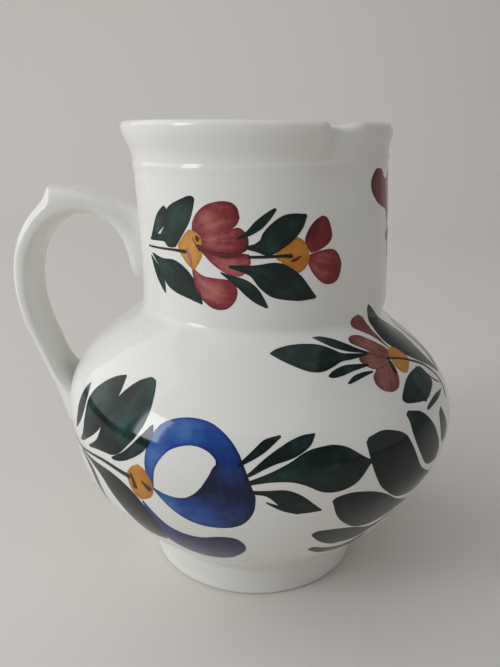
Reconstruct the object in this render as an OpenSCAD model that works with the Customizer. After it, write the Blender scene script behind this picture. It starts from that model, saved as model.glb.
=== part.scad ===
// Glazed earthenware pouring jug, built from the clay pieces that are luted together before firing.
// Millimetres, +Z up. The origin is the middle of the foot's standing ring, with the spout
// towards +X and the handle towards -X.

/* [Body] */
// Height of the rim above the table
jug_h = 160; // [150:1:175]
// Radius of the belly at its widest
belly_r = 70.5; // [67:0.5:74]
// Height at which the belly is widest
belly_z = 63; // [60:0.5:66]
// Thickness of the thrown wall
wall = 4.8; // [4.2:0.1:5.4]
// Radius of the foot where it stands
foot_r = 40; // [37:0.5:42]
// Height of the turned foot ring
foot_h = 9.5; // [8:0.5:11]
// Width of the foot ring across its standing face
foot_w = 7; // [5:0.5:9]
// Thickness of the floor
floor_t = 6; // [5:0.5:8]

/* [Neck and mouth] */
// Outside radius of the neck
neck_r = 43.6; // [42:0.2:45]
// Height at which the neck stands on the shoulder
neck_z = 98.4; // [96:0.4:100]
// Height of the flared collar above the ridge
collar_h = 12.2; // [11:0.2:14]
// Outside radius of the flared rim
rim_r = 47; // [46:0.2:49]
// Radius of the rounded lip
lip_r = 2.1; // [1.8:0.1:2.3]

/* [Spout] */
// Angle from the spout's middle to the valley at each side
spout_a = 66; // [58:1:70]
// Half width of the fold at each valley, as an angle
fold_a = 7; // [5:0.5:9]
// Outside radius of the spout's lip at its tip
spout_r = 43.9; // [43:0.1:46]
// How far the tip rises above the rim
spout_rise = 2.3; // [1:0.1:4]
// How far the valleys are pressed in
valley_in = 2.2; // [0.5:0.1:3]
// How far the valleys dip below the rim
valley_dip = 1.4; // [0.5:0.1:2]

/* [Handle] */
// Width of the strap
strap_w = 20; // [16:0.5:23]
// How far the strap's outer face reaches from the jug's axis
handle_reach = 87.7; // [85:0.1:92]
// Thickness of the strap at its outermost place
strap_t = 7.2; // [6:0.1:8.5]
// Thickness of the strap's arm where it leaves the upper root
arm_t = 8.6; // [8:0.1:9.2]
// How far the arm's end stands off the neck
arm_stand = 10.4; // [9:0.1:12]
// Height of the arm on the neck, as a share of the neck's height
arm_share = 0.668; // [0.63:0.002:0.7]
// How far the upper root runs down the neck, as a share of the neck's height
root_share = 0.482; // [0.44:0.002:0.52]
// Height of the strap's lower end above the widest place of the belly
strap_end = 11.6; // [10:0.1:13]
// How far the strap's lower end stands off the widest place of the belly
tail_stand = 8.7; // [8:0.1:10]
// Height of the lower root's tail above the table
tail_z = 48.9; // [47:0.1:52]
// How far the thumb rest stands above the strap's flat
thumb_t = 4; // [3:0.1:5]
// Length of the thumb rest
thumb_l = 21.7; // [18:0.1:24]

/* [Joints] */
// Height of the stepped laps between the thrown pieces
lap = 3; // [2:0.1:3.6]
// Thickness of the slip that fills each lap
slip = 0.15; // [0.1:0.05:0.3]

/* [Hidden] */
$fn = 128;
glaze = [0.93, 0.92, 0.88];
bare_clay = [0.86, 0.79, 0.69];
neck_in = neck_r - wall;
lap_r = neck_r - wall / 2;
belly_lap_r = belly_r - wall / 2;
ridge_z = jug_h - collar_h;
ridge_out = 0.4;
foot_chamfer = 1.2;
foot_taper = 1.5;
fillet_r = 3.3;
fillet_h = 5.2;
floor_z = foot_h + floor_t;
curve_n = 16;
flare_n = 8;
lip_n = 8;
fold_end = spout_a + fold_a;
spout_step = fold_end / 34;
rib_n = 24;
rib_power = 2 / 2.7;
strap_half = strap_w / 2;
neck_l = ridge_z - neck_z;
arm_x = -(neck_r + arm_stand);
arm_z = neck_z + arm_share * neck_l;
arm_half = arm_t / 2;
flat_z = arm_z + 0.675 * arm_half;
root_l = root_share * neck_l;
root_sink = 3;
tail_sink = 10.5;

function mix(a, b, t) = a * (1 - t) + b * t;
function smooth(t) = let (k = min(max(t, 0), 1)) k * k * (3 - 2 * k);
function between(a, b, across, up) = [mix(a[0], b[0], across), mix(a[1], b[1], up)];
function unit(v) = v / norm(v);
function curve(p, t) = pow(1 - t, 3) * p[0] + 3 * t * pow(1 - t, 2) * p[1]
    + 3 * t * t * (1 - t) * p[2] + pow(t, 3) * p[3];
function curve_way(p, t) = unit(pow(1 - t, 2) * (p[1] - p[0]) + 2 * t * (1 - t) * (p[2] - p[1])
    + t * t * (p[3] - p[2]));
function inward(p, t) = let (d = curve_way(p, t)) curve(p, t) + wall * [-d[1], d[0]];

// Belly outline: from the foot to the widest place, then over the shoulder to the neck
bowl_start = [foot_r + fillet_r, foot_h + fillet_h];
belly_mid = [belly_r, belly_z];
neck_foot = [neck_r, neck_z];
bowl_curve = [bowl_start, between(bowl_start, belly_mid, 0.614, 0.29),
              between(bowl_start, belly_mid, 1, 0.681), belly_mid];
shoulder_curve = [belly_mid, between(belly_mid, neck_foot, 0, 0.588),
                  between(belly_mid, neck_foot, 0.829, 0.76), neck_foot];
bowl_outside = [for (i = [0:curve_n]) curve(bowl_curve, i / curve_n)];
shoulder_outside = [for (i = [0:curve_n]) curve(shoulder_curve, i / curve_n)];
bowl_inside = [for (i = [0:curve_n]) inward(bowl_curve, i / curve_n)];
shoulder_inside = [for (i = [0:curve_n]) inward(shoulder_curve, i / curve_n)];
foot_top = [[foot_r + 0.3 * fillet_r, foot_h], [foot_r + 0.4 * fillet_r, foot_h + fillet_h / 2]];

module foot_ring()
    color(bare_clay)
    rotate_extrude()
        polygon([[foot_r - foot_w, foot_chamfer], [foot_r - foot_w + foot_chamfer, 0],
                 [foot_r - foot_chamfer, 0], [foot_r, foot_chamfer], foot_top[0],
                 [foot_r - foot_w - foot_taper, foot_h]]);

module lower_bowl()
    color(glaze)
    rotate_extrude()
        polygon(concat([[0, foot_h]], foot_top, bowl_outside,
                       [[belly_lap_r, belly_z], [belly_lap_r, belly_z + lap],
                        [belly_r - wall, belly_z + lap]],
                       [for (i = [curve_n:-1:0]) bowl_inside[i]],
                       [[bowl_inside[0][0] - wall / 2, floor_z + wall / 6],
                        [bowl_inside[0][0] - 1.25 * wall, floor_z], [0, floor_z]]));

// The lap's seat in the shoulder takes the place of the inside wall's last stretch
module shoulder()
    color(glaze)
    rotate_extrude()
        polygon(concat(shoulder_outside,
                       [[lap_r, neck_z], [lap_r, neck_z - lap]],
                       [for (i = [curve_n:-1:0])
                           let (p = shoulder_inside[i])
                           if (p[1] < neck_z - lap - 0.3 && p[1] > belly_z + lap + slip + 0.3) p],
                       [[belly_r - wall, belly_z + lap + slip],
                        [belly_lap_r + slip, belly_z + lap + slip], [belly_lap_r + slip, belly_z]]));

module neck()
    color(glaze)
    rotate_extrude()
        polygon([[neck_r, neck_z], [neck_r, ridge_z], [lap_r, ridge_z], [lap_r, ridge_z + lap],
                 [neck_in, ridge_z + lap], [neck_in, neck_z - lap + slip],
                 [lap_r - slip, neck_z - lap + slip], [lap_r - slip, neck_z]]);

// One section of the mouth at an angle from the spout's middle: the flared collar outside the
// valleys, the steeper and higher pouring lip between them
function fold_at(a) = let (d = abs(abs(a) - spout_a)) d < fold_a ? pow(cos(90 * d / fold_a), 2) : 0;
function lobe_at(a) = 1 - smooth((abs(a) - spout_a + fold_a) / (2 * fold_a));
function rim_at(a) = mix(rim_r, spout_r, lobe_at(a)) - valley_in * fold_at(a);
function top_at(a) = jug_h + spout_rise * lobe_at(a) * (1 - pow(min(abs(a) / spout_a, 1), 2))
    - valley_dip * fold_at(a);
function mouth_section(a) =
    let (r = rim_at(a), top = top_at(a), low = ridge_z + lap + slip, base = neck_r + ridge_out)
    concat([[lap_r + slip, ridge_z]],
           [for (i = [0:flare_n])
               [mix(base, r, smooth(i / flare_n)), mix(ridge_z, top - lip_r, i / flare_n)]],
           [for (i = [1:lip_n])
               [r - lip_r + lip_r * cos(180 * i / lip_n), top - lip_r + lip_r * sin(180 * i / lip_n)]],
           [for (i = [1:flare_n])
               [mix(r - 2 * lip_r, neck_in, smooth(i / flare_n)), mix(top - lip_r, low, i / flare_n)]],
           [[lap_r + slip, low]]);

module rim_collar()
    color(glaze)
    rotate([0, 0, fold_end])
    rotate_extrude(angle = 360 - 2 * fold_end)
        polygon(mouth_section(180));

// Closed solid through rings that all have the same number of points
module loft(rings) {
    n = len(rings[0]);
    m = len(rings);
    sides = [for (j = [0:m - 2], k = [0:n - 1])
        let (a = j * n + k, b = j * n + (k + 1) % n) each [[a, b, b + n], [a, b + n, a + n]]];
    polyhedron(points = [for (ring = rings, p = ring) p],
               faces = concat(sides, [[for (k = [n - 1:-1:0]) k]], [[for (k = [0:n - 1]) (m - 1) * n + k]]),
               convexity = 6);
}

module spout()
    color(glaze)
    loft([for (a = [fold_end:-spout_step:-fold_end - spout_step / 2])
        [for (p = mouth_section(a)) [p[0] * cos(a), p[0] * sin(a), p[1]]]]);

// Handle ribs: an outer and an inner point in the jug's middle plane, and half the strap's width
function power(v) = sign(v) * pow(abs(v), rib_power);
function rib(outer, inner, half) =
    let (middle = (outer + inner) / 2, reach = (outer - inner) / 2)
    [for (k = [0:rib_n - 1])
        let (c = power(cos(360 * k / rib_n)), s = power(sin(360 * k / rib_n)))
        [middle[0] + reach[0] * c, half * s, middle[1] + reach[1] * c]];

// Strap outlines: from the arm over the crown to the outermost place, then down to the belly
strap_in = handle_reach - strap_t;
end_z = belly_z + strap_end;
bend_z = mix(end_z, arm_z, 0.57);
crown = 0.434 * (arm_z - bend_z);
outer_bend = [-handle_reach, bend_z];
inner_bend = [-strap_in, bend_z - strap_t / 2];
end_outer = [-(belly_r + tail_stand), end_z];
end_inner = [-(belly_r + tail_stand / 3), end_z + tail_stand / 20];
outer_top = [[arm_x, arm_z + arm_half], [mix(arm_x, -handle_reach, 0.475), arm_z + crown],
             [-handle_reach, mix(arm_z, bend_z, 0.016)], outer_bend];
outer_low = [outer_bend, between(outer_bend, end_outer, 0, 0.309),
             between(outer_bend, end_outer, 0.553, 0.648), end_outer];
inner_top = [[arm_x, arm_z - arm_half], [mix(arm_x, -strap_in, 0.264), arm_z + 0.15 * crown],
             [-strap_in, mix(arm_z, inner_bend[1], 0.122)], inner_bend];
inner_low = [inner_bend, between(inner_bend, end_inner, 0, 0.331),
             between(inner_bend, end_inner, 0.493, 0.683), end_inner];
top_n = 14;
low_n = 10;

module handle_strap()
    color(glaze)
    difference() {
        loft(concat([for (i = [0:top_n]) let (t = i / top_n)
                        rib(curve(outer_top, t), curve(inner_top, t), strap_half)],
                    [for (i = [1:low_n]) let (t = i / low_n)
                        rib(curve(outer_low, t), curve(inner_low, t), strap_half)]));
        translate([-handle_reach, -strap_w, flat_z])
            cube([handle_reach + arm_x + slip, 2 * strap_w, 2 * crown]);
    }

// Upper root: flares down the neck and is cut to the neck's own curve. Each row holds the rib's way
// in and height at the top, its way in and drop at the bottom, and its widening, all as shares
root_ribs = [[0, 1, 0, 0, 0], [0.21, 0.84, 0.224, 0.138, 0], [0.403, 0.58, 0.433, 0.333, 0.02],
             [0.582, 0.35, 0.582, 0.579, 0.05], [0.746, 0.19, 0.7, 0.897, 0.08], [1, 0.09, 1, 1, 0.08]];
module upper_root()
    color(glaze)
    difference() {
        loft([for (s = root_ribs)
            rib([arm_x + s[0] * (arm_stand + root_sink), arm_z + s[1] * arm_half],
                [arm_x + s[2] * (arm_stand + root_sink), arm_z - mix(arm_half, root_l, s[3])],
                strap_half * (1 + s[4]))]);
        translate([0, 0, neck_z])
            cylinder(r = neck_r, h = neck_l);
    }

// Lower root: the strap's end pressed on to the belly, tapering to a rounded tail. Each row holds the
// rib's stand and height outside, its depth and height inside, and its widening, all as shares
tail_ribs = [[0.862, 0.86, 0.143, 0.86, 0.02], [0.644, 0.626, 0.619, 0.665, 0.05],
             [0.448, 0.37, 0.81, 0.451, 0.03], [0.299, 0.156, 0.905, 0.249, -0.04],
             [0.184, 0.055, 0.952, 0.132, -0.18], [-0.011, 0, 1, 0.055, -0.36]];
module lower_root()
    color(glaze)
    difference() {
        loft(concat([rib(end_outer, end_inner, strap_half)],
                    [for (s = tail_ribs)
                        rib([-(belly_r + s[0] * tail_stand), mix(tail_z, end_z, s[1])],
                            [-(belly_r - s[2] * tail_sink), mix(tail_z, end_z, s[3])],
                            strap_half * (1 + s[4]))]));
        rotate_extrude()
            polygon(concat([[0, foot_h]], foot_top, bowl_outside,
                           [for (i = [1:curve_n]) shoulder_outside[i]], [[0, neck_z]]));
    }

// Thumb rest: a tongue of clay on the strap's flat, level with the root's top at its inner end
thumb_n = 10;
module thumb_rest()
    color(glaze)
    loft([for (i = [0:thumb_n])
        let (t = i / thumb_n, x = arm_x - t * thumb_l,
             high = mix(arm_half - (flat_z - arm_z), thumb_t, sin(90 * min(t * 1.5, 1))),
             half = strap_half * mix(0.84, 0.74, t * t))
        [for (k = [0:thumb_n])
            [x, half * power(cos(180 * k / thumb_n)), flat_z + high * power(sin(180 * k / thumb_n))]]]);

foot_ring();
lower_bowl();
shoulder();
neck();
rim_collar();
spout();
upper_root();
handle_strap();
thumb_rest();
lower_root();
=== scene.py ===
import math

import bpy
import numpy as np
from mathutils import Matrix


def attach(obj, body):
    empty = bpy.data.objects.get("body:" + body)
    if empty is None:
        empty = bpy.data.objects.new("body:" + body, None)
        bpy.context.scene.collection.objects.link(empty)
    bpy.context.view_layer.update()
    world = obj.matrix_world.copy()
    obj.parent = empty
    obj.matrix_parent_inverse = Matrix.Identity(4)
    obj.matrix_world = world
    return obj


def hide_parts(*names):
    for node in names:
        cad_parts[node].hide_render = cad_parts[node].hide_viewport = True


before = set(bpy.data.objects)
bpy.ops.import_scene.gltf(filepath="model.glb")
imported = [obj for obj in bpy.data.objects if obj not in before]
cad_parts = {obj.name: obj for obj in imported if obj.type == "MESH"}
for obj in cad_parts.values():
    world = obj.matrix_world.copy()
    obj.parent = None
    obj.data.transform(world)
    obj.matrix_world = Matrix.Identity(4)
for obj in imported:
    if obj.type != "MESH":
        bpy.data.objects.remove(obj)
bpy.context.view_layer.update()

# Foot ring: the turned ring of clay that the jug stands on, luted under the bowl.
# Earthenware dipped in white glaze, then wiped bare on the standing face so that it doesn't
# stick to the kiln shelf. Turned on the wheel, a little wider at the top than at the bottom.
MM = 0.001
TURNS = 192
FOOT_R = 40.0
FOOT_H = 9.5
FOOT_W = 7.0
FOOT_FLARE = 1.0
EDGE_R = 1.3
BARE_H = 0.6
BARE_SLOPE = -0.8


def smooth(t):
    k = min(max(t, 0.0), 1.0)
    return k * k * (3 - 2 * k)


def mix(a, b, t):
    return a * (1 - t) + b * t


def arc(centre, radius, start, stop, steps):
    angles = [math.radians(mix(start, stop, i / steps)) for i in range(steps + 1)]
    return [(centre[0] + radius * math.cos(a), centre[1] + radius * math.sin(a)) for a in angles]


def cubic(p, steps):
    points = []
    for i in range(steps + 1):
        t = i / steps
        w = ((1 - t) ** 3, 3 * t * (1 - t) ** 2, 3 * t * t * (1 - t), t ** 3)
        points.append(tuple(sum(w[k] * p[k][axis] for k in range(4)) for axis in (0, 1)))
    return points


def way_between(rows, steps):
    rows = [np.array(row, float) for row in rows]
    dense = []
    for i in range(len(rows) - 1):
        before = rows[max(i - 1, 0)]
        a, b = rows[i], rows[i + 1]
        after = rows[min(i + 2, len(rows) - 1)]
        leave = (b - before) / 2 if i else b - a
        arrive = (after - a) / 2 if i < len(rows) - 2 else b - a
        for k in range(steps):
            t = k / steps
            dense.append((2 * t ** 3 - 3 * t * t + 1) * a + (t ** 3 - 2 * t * t + t) * leave
                         + (3 * t * t - 2 * t ** 3) * b + (t ** 3 - t * t) * arrive)
    dense.append(rows[-1])
    return np.array(dense)


# How far the thrown body stands off its axis towards the spout, at each height
foot_lean = [(0, -0.35), (10, -0.35), (15, -0.05)]
belly_lean = [(22, -0.25), (30, -0.7), (38, -0.95), (46, -0.3), (55, 0.95), (64, 0.75), (75, 0.25)]
neck_lean = [(84, -0.3), (92, -0.5), (96, 0.3), (100, 1.15), (108, 1.3), (125, 0.4), (137, -0.3)]
rim_lean = [(150, -1.0), (165, -1.3)]
LEAN_STEPS = 8
lean_rows = way_between(foot_lean + belly_lean + neck_lean + rim_lean, LEAN_STEPS)


def lean(z):
    return float(np.interp(z, lean_rows[:, 0], lean_rows[:, 1]))


# The swelling that runs up the neck to the pouring lip: half of its width and its soft edge in degrees
TONGUE_OUT = 0.35
TONGUE_HALF = 66
TONGUE_SOFT = 16
TONGUE_FOOT = 99
TONGUE_WIDENS = 28
TONGUE_TOP = 148
TONGUE_FADE = 20


def tongue(angle, z):
    reach = TONGUE_HALF * math.sqrt(min(max((z - TONGUE_FOOT) / TONGUE_WIDENS, 0.0), 1.0))
    side = smooth((reach - abs(angle)) / TONGUE_SOFT + 0.3)
    return TONGUE_OUT * side * smooth((TONGUE_TOP - z) / TONGUE_FADE) * (reach > 0)


SEAT_RISE = 4.0
SEAT_LOW = 80
SEAT_HIGH = 112
SEAT_FADE_LOW = 16
SEAT_FADE_HIGH = 15
SEAT_SIDE = 0.7
OVAL = 0.08
LOBES = 0.06
LOBES_TURN = 19
TRUE_R = 20


# The thrown form isn't quite true: it leans, is a little out of round, the neck swells under the lip,
# and its seat on the shoulder stands higher in front and behind than at the handle and the lip
def by_hand(x, y, z):
    a = math.atan2(y, x)
    r = math.hypot(x, y)
    if SEAT_LOW < z < SEAT_HIGH:
        fade = smooth((z - SEAT_LOW) / SEAT_FADE_LOW) * smooth((SEAT_HIGH - z) / SEAT_FADE_HIGH)
        z += SEAT_RISE * smooth(abs(math.sin(a)) / SEAT_SIDE) * fade
    out = OVAL * math.cos(2 * a) + LOBES * math.cos(3 * a) * math.cos(z / LOBES_TURN)
    if TONGUE_FOOT < z < TONGUE_TOP:
        out += tongue(math.degrees(a), z)
    grow = 1 + out * smooth((r - TRUE_R) / TRUE_R) / max(r, 1)
    return x * grow + lean(z), y * grow, z


def shape_by_hand(piece):
    for vertex in piece.data.vertices:
        x, y, z = by_hand(*(value / MM for value in vertex.co))
        vertex.co = (x * MM, y * MM, z * MM)


def edit_all():
    bpy.ops.object.mode_set(mode="EDIT")
    bpy.ops.mesh.select_all(action="SELECT")


def face_outward():
    bpy.ops.mesh.select_all(action="SELECT")
    bpy.ops.mesh.normals_make_consistent(inside=False)
    bpy.ops.object.mode_set(mode="OBJECT")


MERGE = 0.002


# A thrown piece starts as a ring of points, is set to the outline's points and is spun about the axis
def thrown(name, outline):
    bpy.ops.object.select_all(action="DESELECT")
    bpy.ops.mesh.primitive_circle_add(vertices=len(outline), radius=FOOT_R * MM)
    piece = bpy.context.object
    piece.name = name
    for vertex, (r, z) in zip(piece.data.vertices, outline):
        vertex.co = (r * MM, 0, z * MM)
    edit_all()
    bpy.ops.mesh.spin(steps=TURNS, angle=2 * math.pi, center=(0, 0, 0), axis=(0, 0, 1))
    bpy.ops.mesh.select_all(action="SELECT")
    bpy.ops.mesh.remove_doubles(threshold=MERGE * MM)
    face_outward()
    bpy.ops.object.shade_smooth_by_angle(angle=math.radians(35))
    return piece


def colour(red, green, blue):
    parts = []
    for value in (red, green, blue):
        v = value / 255
        parts.append(v / 12.92 if v <= 0.04045 else ((v + 0.055) / 1.055) ** 2.4)
    return (*parts, 1.0)


def new_material(name):
    material = bpy.data.materials.new(name)
    material.use_nodes = True
    return material, material.node_tree.nodes, material.node_tree.links


def noise(nodes, links, place, scale, detail):
    texture = nodes.new("ShaderNodeTexNoise")
    texture.inputs["Scale"].default_value = scale
    texture.inputs["Detail"].default_value = detail
    links.new(place, texture.inputs["Vector"])
    return texture.outputs["Fac"]


def ranged(nodes, links, value, low, high, to_low, to_high):
    spread = nodes.new("ShaderNodeMapRange")
    for socket, number in (("From Min", low), ("From Max", high), ("To Min", to_low), ("To Max", to_high)):
        spread.inputs[socket].default_value = number
    links.new(value, spread.inputs["Value"])
    return spread.outputs["Result"]


def two_tones(nodes, links, factor, first, second):
    tint = nodes.new("ShaderNodeMix")
    tint.data_type = "RGBA"
    tint.inputs["A"].default_value = first
    tint.inputs["B"].default_value = second
    links.new(factor, tint.inputs["Factor"])
    return tint


def uneven(nodes, links, height, strength, distance):
    bump = nodes.new("ShaderNodeBump")
    bump.inputs["Strength"].default_value = strength
    bump.inputs["Distance"].default_value = distance
    links.new(height, bump.inputs["Height"])
    links.new(bump.outputs["Normal"], nodes["Principled BSDF"].inputs["Normal"])


def worked_out(nodes, links, operation, *values):
    step = nodes.new("ShaderNodeMath")
    step.operation = operation
    for socket, value in zip(step.inputs, values):
        if isinstance(value, float):
            socket.default_value = value
        else:
            links.new(value, socket)
    return step.outputs["Value"]


def new_group(name, floats_in, vectors_in, floats_out):
    group = bpy.data.node_groups.new(name, "ShaderNodeTree")
    sockets = [(socket, "INPUT", "NodeSocketFloat") for socket in floats_in]
    sockets += [(socket, "INPUT", "NodeSocketVector") for socket in vectors_in]
    sockets += [(socket, "OUTPUT", "NodeSocketFloat") for socket in floats_out]
    for socket, side, kind in sockets:
        group.interface.new_socket(name=socket, in_out=side, socket_type=kind)
    start = group.nodes.new("NodeGroupInput")
    end = group.nodes.new("NodeGroupOutput")
    return group, start.outputs, end.inputs


CLOUD_SCALE = 22
SPECK_SCALE = 110
SPECK_R = 0.045
SPECK_EDGE = 0.012
GRAIN_SCALE = 70
GLOSSIEST = 0.07
DULLEST = 0.13
RIPPLE_SCALE = 55
PORE_SCALE = 480
PORE_SHARE = 0.04
GLAZE_IOR = 1.4


# Skin of the glaze, shared by the white ware and the painting under it
def glaze_skin_group():
    skin_parts = ("Cloud", "Speck", "Roughness", "Height")
    group, given, result = new_group("glaze skin", (), ("Place",), skin_parts)
    nodes, links = group.nodes, group.links
    place = given["Place"]
    links.new(noise(nodes, links, place, CLOUD_SCALE, 4), result["Cloud"])
    cells = nodes.new("ShaderNodeTexVoronoi")
    cells.inputs["Scale"].default_value = SPECK_SCALE
    links.new(place, cells.inputs["Vector"])
    parts = nodes.new("ShaderNodeSeparateColor")
    links.new(cells.outputs["Color"], parts.inputs["Color"])
    speck_r = ranged(nodes, links, parts.outputs["Red"], 0.5, 1.0, 0.0, SPECK_R)
    inside = worked_out(nodes, links, "SUBTRACT", speck_r, cells.outputs["Distance"])
    links.new(ranged(nodes, links, inside, 0.0, SPECK_EDGE, 0.0, 1.0), result["Speck"])
    grain = noise(nodes, links, place, GRAIN_SCALE, 3)
    links.new(ranged(nodes, links, grain, 0.3, 0.7, GLOSSIEST, DULLEST), result["Roughness"])
    pores = noise(nodes, links, place, PORE_SCALE, 1)
    ripple = noise(nodes, links, place, RIPPLE_SCALE, 1.5)
    links.new(worked_out(nodes, links, "MULTIPLY_ADD", pores, PORE_SHARE, ripple), result["Height"])
    return group


glaze_skin = glaze_skin_group()


def glaze_nodes(nodes, links):
    place = nodes.new("ShaderNodeTexCoord")
    skin = nodes.new("ShaderNodeGroup")
    skin.node_tree = glaze_skin
    links.new(place.outputs["Object"], skin.inputs["Place"])
    shader = nodes["Principled BSDF"]
    shader.inputs["IOR"].default_value = GLAZE_IOR
    links.new(skin.outputs["Roughness"], shader.inputs["Roughness"])
    uneven(nodes, links, skin.outputs["Height"], 0.12, 0.0006)
    return place, skin, shader


def white_glaze(name, cool, warm, iron):
    material, nodes, links = new_material(name)
    place, skin, shader = glaze_nodes(nodes, links)
    body = two_tones(nodes, links, skin.outputs["Cloud"], cool, warm)
    spotted = two_tones(nodes, links, skin.outputs["Speck"], warm, iron)
    links.new(body.outputs["Result"], spotted.inputs["A"])
    links.new(spotted.outputs["Result"], shader.inputs["Base Color"])
    return material


def bare_clay(name, pale, dark):
    material, nodes, links = new_material(name)
    place = nodes.new("ShaderNodeTexCoord")
    grain = noise(nodes, links, place.outputs["Object"], 600, 5)
    tint = two_tones(nodes, links, grain, pale, dark)
    shader = nodes["Principled BSDF"]
    shader.inputs["Roughness"].default_value = 0.85
    links.new(tint.outputs["Result"], shader.inputs["Base Color"])
    uneven(nodes, links, grain, 0.4, 0.0003)
    return material


glaze = white_glaze("white_glaze", colour(226, 228, 226), colour(233, 229, 221), colour(96, 74, 58))
clay = bare_clay("bare_clay", colour(222, 198, 170), colour(198, 168, 138))

foot_in = FOOT_R - FOOT_W
foot_top = (FOOT_R + FOOT_FLARE, FOOT_H)
foot_side = cubic([(FOOT_R, 2.0), (FOOT_R + 0.1, 4.5), (FOOT_R + 0.5, 7.0), foot_top], 10)
foot_outline = arc((FOOT_R - EDGE_R, EDGE_R), EDGE_R, -90, 0, 6) + foot_side
foot_outline += [(foot_in - 1.5, FOOT_H), (foot_in - 0.6, 5.0), (foot_in - 0.1, 2.6)]
foot_outline += arc((foot_in + EDGE_R, EDGE_R), EDGE_R, 180, 270, 6)
foot_ring = thrown("turned_foot", foot_outline)
shape_by_hand(foot_ring)
foot_ring.data.materials.append(glaze)
foot_ring.data.materials.append(clay)
for face in foot_ring.data.polygons:
    if face.normal.z < BARE_SLOPE and face.center.z < BARE_H * MM:
        face.material_index = 1
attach(foot_ring, "root")
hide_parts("foot_ring")

# Lower bowl: the thrown half of the belly with the floor, up to the widest place.
# Earthenware under white glaze, springing from the foot in a small hollow.
# Its upper edge is cut to a step that takes the shoulder's lap.
BELLY_R = 70.5
BELLY_Z = 63.0
WALL = 4.8
FLOOR_Z = 15.5
LAP = 3.0
SLIP = 0.15
LAP_R = BELLY_R - WALL / 2
SPRING_END = (43.3, 14.7)


def inset(points, distance):
    moved = []
    for i, (r, z) in enumerate(points):
        before = points[max(i - 1, 0)]
        after = points[min(i + 1, len(points) - 1)]
        dr, dz = after[0] - before[0], after[1] - before[1]
        length = math.hypot(dr, dz)
        moved.append((r - distance * dz / length, z + distance * dr / length))
    return moved


spring = cubic([foot_top, (41.1, 11.6), (41.9, 13.5), SPRING_END], 8)
bowl_curve = cubic([SPRING_END, (60, 28.7), (BELLY_R, 47.6), (BELLY_R, BELLY_Z)], 56)
bowl_inside = inset(bowl_curve, WALL)
floor_r = bowl_inside[0][0]
bowl_outline = [(0, FOOT_H), (20, FOOT_H)] + spring[:-1] + bowl_curve
bowl_outline += [(LAP_R, BELLY_Z), (LAP_R, BELLY_Z + LAP), (BELLY_R - WALL, BELLY_Z + LAP)]
bowl_outline += bowl_inside[::-1]
bowl_outline += [(floor_r - 1.2, FLOOR_Z + 1.7), (floor_r - 2.8, FLOOR_Z + 0.6), (floor_r - 6, FLOOR_Z)]
bowl_outline += [(20, FLOOR_Z), (0, FLOOR_Z)]
lower_bowl = thrown("thrown_bowl", bowl_outline)
shape_by_hand(lower_bowl)
lower_bowl.data.materials.append(glaze)
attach(lower_bowl, "root")
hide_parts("lower_bowl")

# Shoulder: the thrown upper half of the belly, turned in to carry the neck.
# Earthenware under the same glaze, lapped on to the bowl at the widest place and smoothed over,
# so the joint doesn't show.
NECK_R = 43.6
NECK_TOP_R = 43.1
NECK_TAPER_Z = 128.0
NECK_Z = 98.4
NECK_LAP_R = NECK_R - WALL / 2
CORNER_Z = 95.6
FILLET_LOW = 94.6
FILLET_HIGH = 97.2


def quadratic(a, b, c, steps):
    points = []
    for i in range(steps + 1):
        t = i / steps
        w = ((1 - t) ** 2, 2 * t * (1 - t), t * t)
        points.append(tuple(w[0] * a[axis] + w[1] * b[axis] + w[2] * c[axis] for axis in (0, 1)))
    return points


rise = cubic([(BELLY_R, BELLY_Z), (BELLY_R, 80.2), (54.4, 88.4), (NECK_R, CORNER_Z)], 84)
shoulder_curve = [p for p in rise if p[1] < FILLET_LOW]
fillet = quadratic(shoulder_curve[-1], (NECK_R, CORNER_Z), (NECK_R, FILLET_HIGH), 12)
shoulder_inside = [p for p in inset(rise, WALL) if p[1] > BELLY_Z + LAP + 0.5 and p[0] > NECK_LAP_R]
shoulder_outline = shoulder_curve + fillet[1:] + [(NECK_R, NECK_Z), (NECK_LAP_R, NECK_Z)]
shoulder_outline += [(NECK_LAP_R, NECK_Z - LAP), (NECK_R - WALL, NECK_Z - LAP)]
shoulder_outline += [(NECK_R - WALL + 0.6, NECK_Z - 5)]
shoulder_outline += shoulder_inside[::-1]
shoulder_outline += [(BELLY_R - WALL, BELLY_Z + LAP + SLIP), (LAP_R + SLIP, BELLY_Z + LAP + SLIP)]
shoulder_outline += [(LAP_R + SLIP, BELLY_Z)]
shoulder = thrown("thrown_shoulder", shoulder_outline)
shape_by_hand(shoulder)
shoulder.data.materials.append(glaze)
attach(shoulder, "root")
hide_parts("shoulder")

# Neck: a thrown cylinder, a little out of line with the belly, lapped into the shoulder.
# Earthenware under white glaze. Its foot meets the shoulder in a small hollow, and it swells
# in a shallow tongue where the thumb drew the clay up into the pouring lip.
RIDGE_Z = 147.8
RIDGE_OUT = 0.35
RIDGE_ROUND = 1.5
RIDGE_SWELL = 2.2
RIDGE_RISE = 4.0
RIDGE_GATHER = 4.3
RIM_Z = 160.0
NECK_ROWS = 64
THROAT_ROWS = 12


def ridge_rise(angle):
    return RIDGE_RISE * abs(math.cos(math.radians(angle) / 2)) ** RIDGE_GATHER


def lift_ridge(piece, start):
    for vertex in piece.data.vertices:
        x, y, z = vertex.co
        share = smooth((z / MM - start) / (RIDGE_Z - start))
        vertex.co.z = z + ridge_rise(math.degrees(math.atan2(y, x))) * share * MM


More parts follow.
